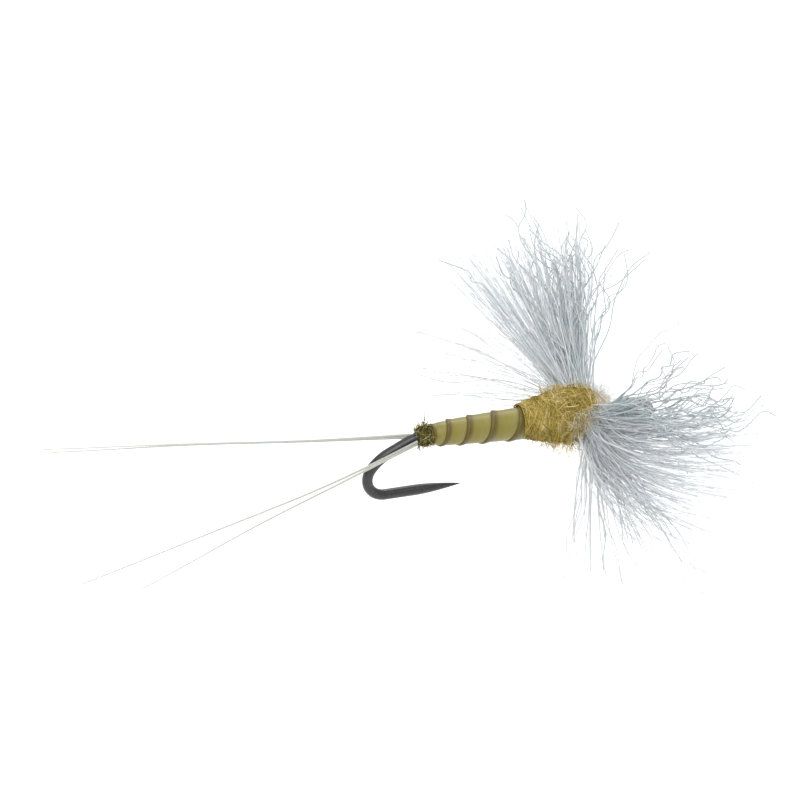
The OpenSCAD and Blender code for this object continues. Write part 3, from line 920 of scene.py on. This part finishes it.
# Each fan runs from its front edge, p = 0, to its rear edge, p = 1. The root angles are how far a
# barb's foot is turned from its tip.
DOWN = {
    FAR: dict(foot=[-0.15, 0.5, 0.15], scatter=[0.24, 0.08, 0.14],
              sweep=lambda p: 20 - 38 * p, rise=lambda p: 25 - 4 * p,
              spread=(10.0, 12.0), reach=lambda p: 1.0, shortest=0.70,
              root_sweep=2.0, root_rise=-2.0, wave=0.14),
    NEAR: dict(foot=[0.18, -0.55, -0.20], scatter=[0.26, 0.12, 0.38],
               sweep=lambda p: 52 - 52 * p, rise=lambda p: 34 - 55 * np.clip(p, 0, 1) ** 0.75,
               spread=(0.86, 1.0), reach=lambda p: 11.2 - 2.6 * p ** 2, shortest=0.55,
               root_sweep=-30.0, root_rise=-15.0, wave=0.28),
}


def make_down(side, material):
    """Soft barbs in tufts, with some loose between them."""
    rng = np.random.default_rng(SEED + 30 + side)
    down = DOWN[side]
    tufts, count = 36, 300
    loose_share, loose_spread, tuft_spread = 0.35, 7.0, 2.0
    barbules_each, barbule_len, barbule_slant = 60, 0.46, 22
    own = rng.integers(0, tufts, count)
    place = np.linspace(0, 1, tufts) + rng.normal(0, 0.02, tufts)
    loose = np.where(rng.random(count) < loose_share, loose_spread, tuft_spread)
    off = rng.normal(0, 1, (2, count)) * loose
    lengths = rng.uniform(*down["spread"], tufts) * down["reach"](place)
    sweep = down["sweep"](place)[own] + off[0]
    rise = down["rise"](place)[own] + off[1] * 0.6
    lengths = lengths[own] * rng.uniform(down["shortest"], 1.03, count)
    last = fan_dirs(sweep, rise, side)
    first = fan_dirs(sweep + down["root_sweep"], rise + down["root_rise"], side)
    roots = foot_points(rng, down["foot"], count, down["scatter"])
    paths = held_back(swept(rng, roots, first, last, lengths, 16, down["wave"]))
    s = np.linspace(0, 1, paths.shape[1])[None]
    radii = rng.uniform(0.014, 0.020, (count, 1)) * (1 - 0.35 * s)
    obj = plume(BODY[side] + "_down_fibres", rng, paths, radii, rng.random(count), barbules_each,
                barbule_len, barbule_slant)
    attach(obj, BODY[side], [BODY[side] + "_down"], material)


BARBS = {
    FAR: dict(count=40, foot=[-0.2, 0.62, 0.12], sweep=lambda p: -84 + 62 * p,
              rise=lambda p: 9 + 13 * p, rise_spread=2.5, length=(5.5, 9.4), shrink=0.0,
              root_sweep=12.0, root_rise=8.0, radius=0.018),
    NEAR: dict(count=36, foot=[0.1, -0.6, -0.3], sweep=lambda p: 14 - 40 * p,
               rise=lambda p: -16 - 20 * p, rise_spread=3.0, length=(7.0, 11.6), shrink=0.3,
               root_sweep=-4.0, root_rise=6.0, radius=0.034),
}


def make_barbs(side, material):
    """Sparse long barbs behind the far wing and below the near wing."""
    rng = np.random.default_rng(SEED + 40 + side)
    barbs = BARBS[side]
    count, scatter, wave = barbs["count"], [0.24, 0.08, 0.15], 0.24
    barbules_each, barbule_len, barbule_slant = 50, 0.20, 30
    place = rng.random(count)
    sweep = barbs["sweep"](place)
    rise = barbs["rise"](place) + rng.normal(0, barbs["rise_spread"], count)
    lengths = rng.uniform(*barbs["length"], count) * (1 - barbs["shrink"] * place)
    last = fan_dirs(sweep, rise, side)
    first = fan_dirs(sweep + barbs["root_sweep"], rise + barbs["root_rise"], side)
    roots = foot_points(rng, barbs["foot"], count, scatter)
    paths = swept(rng, roots, first, last, lengths, 20, wave)
    s = np.linspace(0, 1, paths.shape[1])[None]
    radii = barbs["radius"] * rng.uniform(0.85, 1.15, (count, 1)) * (1 - 0.3 * s)
    obj = plume(BODY[side] + "_long_barb_fibres", rng, paths, radii, rng.random(count), barbules_each,
                barbule_len, barbule_slant)
    attach(obj, BODY[side], [BODY[side] + "_long_barbs"], material)


# ---------------- tails

TAIL_R, TAIL_TAPER = 0.062, 0.55
END_SLICE = 0.15  # of the CAD fibre at each end, whose middle gives that end's place
TAIL_WAVE = 0.12


def make_tail(node, droop, material):
    """A tapered fibre along the CAD one, with the slight bow of a real fibre."""
    rng = np.random.default_rng(SEED + 50 + len(node) + ord(node[0]))
    points = node_points(node)
    root = points[points[:, 0] > points[:, 0].max() - END_SLICE].mean(0)
    tip = points[points[:, 0] < points[:, 0].min() + END_SLICE].mean(0)
    s = np.linspace(0, 1, 60)[:, None]
    early = (1 - s) ** 1.5 * s * 4
    wave = np.sin(s * 7 + rng.uniform(0, 6)) * s * (1 - s)
    path = root + (tip - root) * s + np.array([0, 0, -droop]) * early
    path = path + np.array([0, TAIL_WAVE, TAIL_WAVE]) * wave
    radii = TAIL_R * (1 - TAIL_TAPER * s[:, 0] ** 0.8)
    obj = fibres(node + "_taper", path[None], radii[None], 12, np.array([rng.random()]))
    attach(obj, "tails", [node], material)


# ---------------- build everything

hook_black = hook_finish()
olive_thread = thread_finish("olive_thread", lin(96, 84, 34), lin(176, 160, 92))
brown_thread = thread_finish("brown_thread", lin(60, 52, 18), lin(120, 108, 50))
floss = thread_finish("floss_underbody", lin(128, 118, 50), lin(176, 166, 90))
quill = biot_finish()
gold_fur = fur_finish("gold_spun_fur", [
    (0.0, lin(122, 104, 32)), (0.3, lin(182, 159, 68)), (0.55, lin(210, 187, 98)),
    (0.8, lin(232, 212, 148)), (1.0, lin(242, 232, 206))])
cream_fur = fur_finish("cream_spun_fur", [
    (0.0, lin(176, 154, 84)), (0.25, lin(204, 188, 140)), (0.5, lin(226, 216, 192)),
    (1.0, lin(244, 240, 230))])
dark_fur = fur_finish("dark_spun_fur", [
    (0.0, lin(60, 52, 8)), (0.45, lin(122, 112, 42)), (0.75, lin(172, 162, 88)),
    (1.0, lin(226, 218, 168))])
# The yarn and the down take a tint of painted sheen, in patches.
yarn_fibre = fibre_finish("crinkled_yarn", [
    (0.0, lin(200, 207, 209)), (0.5, lin(220, 225, 227)), (1.0, lin(238, 241, 242))],
    lin(198, 203, 205), 0.3, 0.4, painted_sheen_tint=lin(222, 238, 234))
down_fibre = fibre_finish("soft_down", [
    (0.0, lin(233, 237, 239)), (0.5, lin(245, 247, 248)), (1.0, lin(252, 253, 253))],
    lin(235, 238, 240), 0.5, 0.5, painted_sheen_tint=lin(248, 249, 253))
barb_fibre = fibre_finish("long_barbs", [
    (0.0, lin(218, 222, 223)), (1.0, lin(236, 239, 239))], lin(220, 223, 224), 0.45, 0.45)
tail_fibre = fibre_finish("tail_fibres", [
    (0.0, lin(196, 200, 192)), (1.0, lin(218, 220, 214))], lin(228, 230, 226), 0.2, 0.55)
varnish = cement_finish()

make_hook(hook_black)
make_biot(quill)
make_ball(dark_fur)
make_thorax(gold_fur)
make_front(cream_fur)
for side in (FAR, NEAR):
    make_yarn(side, yarn_fibre)
    make_tie_in_fuzz(side, down_fibre)
    make_down(side, down_fibre)
    make_barbs(side, barb_fibre)
for node, droop in (("far_tail_fibre_upper", 0.10), ("far_tail_fibre_lower", -0.08),
                    ("near_tail_fibre_upper", 0.40), ("near_tail_fibre_lower", -0.15)):
    make_tail(node, droop, tail_fibre)

head_low, head_high = box_mm("head_whip_finish")
cross_low, cross_high = box_mm("wing_figure_eight_wraps")
make_thread("whip_finish_thread", "head_whip_finish", x0=head_low[0] + 0.03, x1=head_high[0] - 0.03,
            r0=0.40, r1=0.30, turns=9, thick=0.058, material=olive_thread)
make_thread("wing_crossing_thread", "wing_figure_eight_wraps", x0=cross_low[0] + 0.06,
            x1=cross_high[0] - 0.06, r0=0.52, r1=0.52, turns=13, thick=0.06,
            material=olive_thread, crossing=0.12)

# These CAD nodes are shown as they are, with a finish of their own.
for node, material in (("shank_thread_base", olive_thread), ("tail_tie_in_wraps", brown_thread),
                       ("abdomen_underbody", floss), ("biot_tie_off_wraps", olive_thread),
                       ("head_cement", varnish)):
    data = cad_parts[node].data
    data.materials.clear()
    data.materials.append(material)

# ---------------- stage, light, camera

FLOOR_DROP, FLOOR_SIZE = 25 * MM, 6
bpy.ops.mesh.primitive_plane_add(size=FLOOR_SIZE, location=(0, 0, cad_low.z - FLOOR_DROP))
floor = bpy.context.object
floor.name = "floor"
floor.data.materials.append(floor_finish())

# White tent: bright overhead, dimmer towards the horizon. Each pair is a height and a level.
HORIZON, OVERHEAD = (0.0, 0.73), (0.75, 1.08)
world = bpy.data.worlds.new("studio")
bpy.context.scene.world = world
world.use_nodes = True
tent = world.node_tree.nodes
sky = tent["Background"]
sky.inputs["Strength"].default_value = 1.0
direction = tent.new("ShaderNodeSeparateXYZ")
shade = tent.new("ShaderNodeValToRGB")
world.node_tree.links.new(tent.new("ShaderNodeTexCoord").outputs["Generated"], direction.inputs[0])
world.node_tree.links.new(direction.outputs["Z"], shade.inputs["Fac"])
world.node_tree.links.new(shade.outputs["Color"], sky.inputs["Color"])
for element, (height, level) in zip(shade.color_ramp.elements, (HORIZON, OVERHEAD)):
    element.position = height
    element.color = (level, level, level, 1)


def softbox(name, offset, target, size, power):
    """A square area lamp at an offset from the target, turned towards it."""
    data = bpy.data.lights.new(name, "AREA")
    data.shape = "SQUARE"
    data.size = size
    data.energy = power
    lamp = bpy.data.objects.new(name, data)
    lamp.location = target + Vector(offset)
    lamp.rotation_mode = "QUATERNION"
    lamp.rotation_quaternion = (target - lamp.location).to_track_quat("-Z", "Y")
    bpy.context.scene.collection.objects.link(lamp)


middle = (cad_low + cad_high) / 2
softbox("key_softbox", offset=(-0.10, -0.16, 0.30), target=middle, size=0.22, power=0.60)
softbox("back_softbox", offset=(0.12, 0.22, 0.26), target=middle, size=0.20, power=0.35)

VIEW_AZIMUTH, VIEW_ELEVATION, VIEW_ROLL = -24.5, 28.8, 5.0
VIEW_DISTANCE = 0.40
VIEW_WIDTH = 37.2 * MM
AIM_RIGHT, AIM_UP = -10.98 * MM, 0.37 * MM  # from the middle of the eye ring, across the view
az, el = math.radians(VIEW_AZIMUTH), math.radians(VIEW_ELEVATION)
back = Vector((math.sin(az) * math.cos(el), -math.cos(az) * math.cos(el), math.sin(el)))
camera_data = bpy.data.cameras.new("camera")
camera = bpy.data.objects.new("camera", camera_data)
bpy.context.scene.collection.objects.link(camera)
bpy.context.scene.camera = camera
level = (-back).to_track_quat("-Z", "Y").to_matrix()
turned = level @ Matrix.Rotation(math.radians(VIEW_ROLL), 3, "Z")
right, up = turned.col[0], turned.col[1]
aim = right * AIM_RIGHT + up * AIM_UP
camera.rotation_mode = "QUATERNION"
camera.rotation_quaternion = turned.to_quaternion()
camera.location = aim + back * VIEW_DISTANCE
camera_data.lens = camera_data.sensor_width * VIEW_DISTANCE / VIEW_WIDTH
camera_data.clip_start, camera_data.clip_end = 0.01, 20
bpy.context.scene.view_settings.view_transform = "Standard"
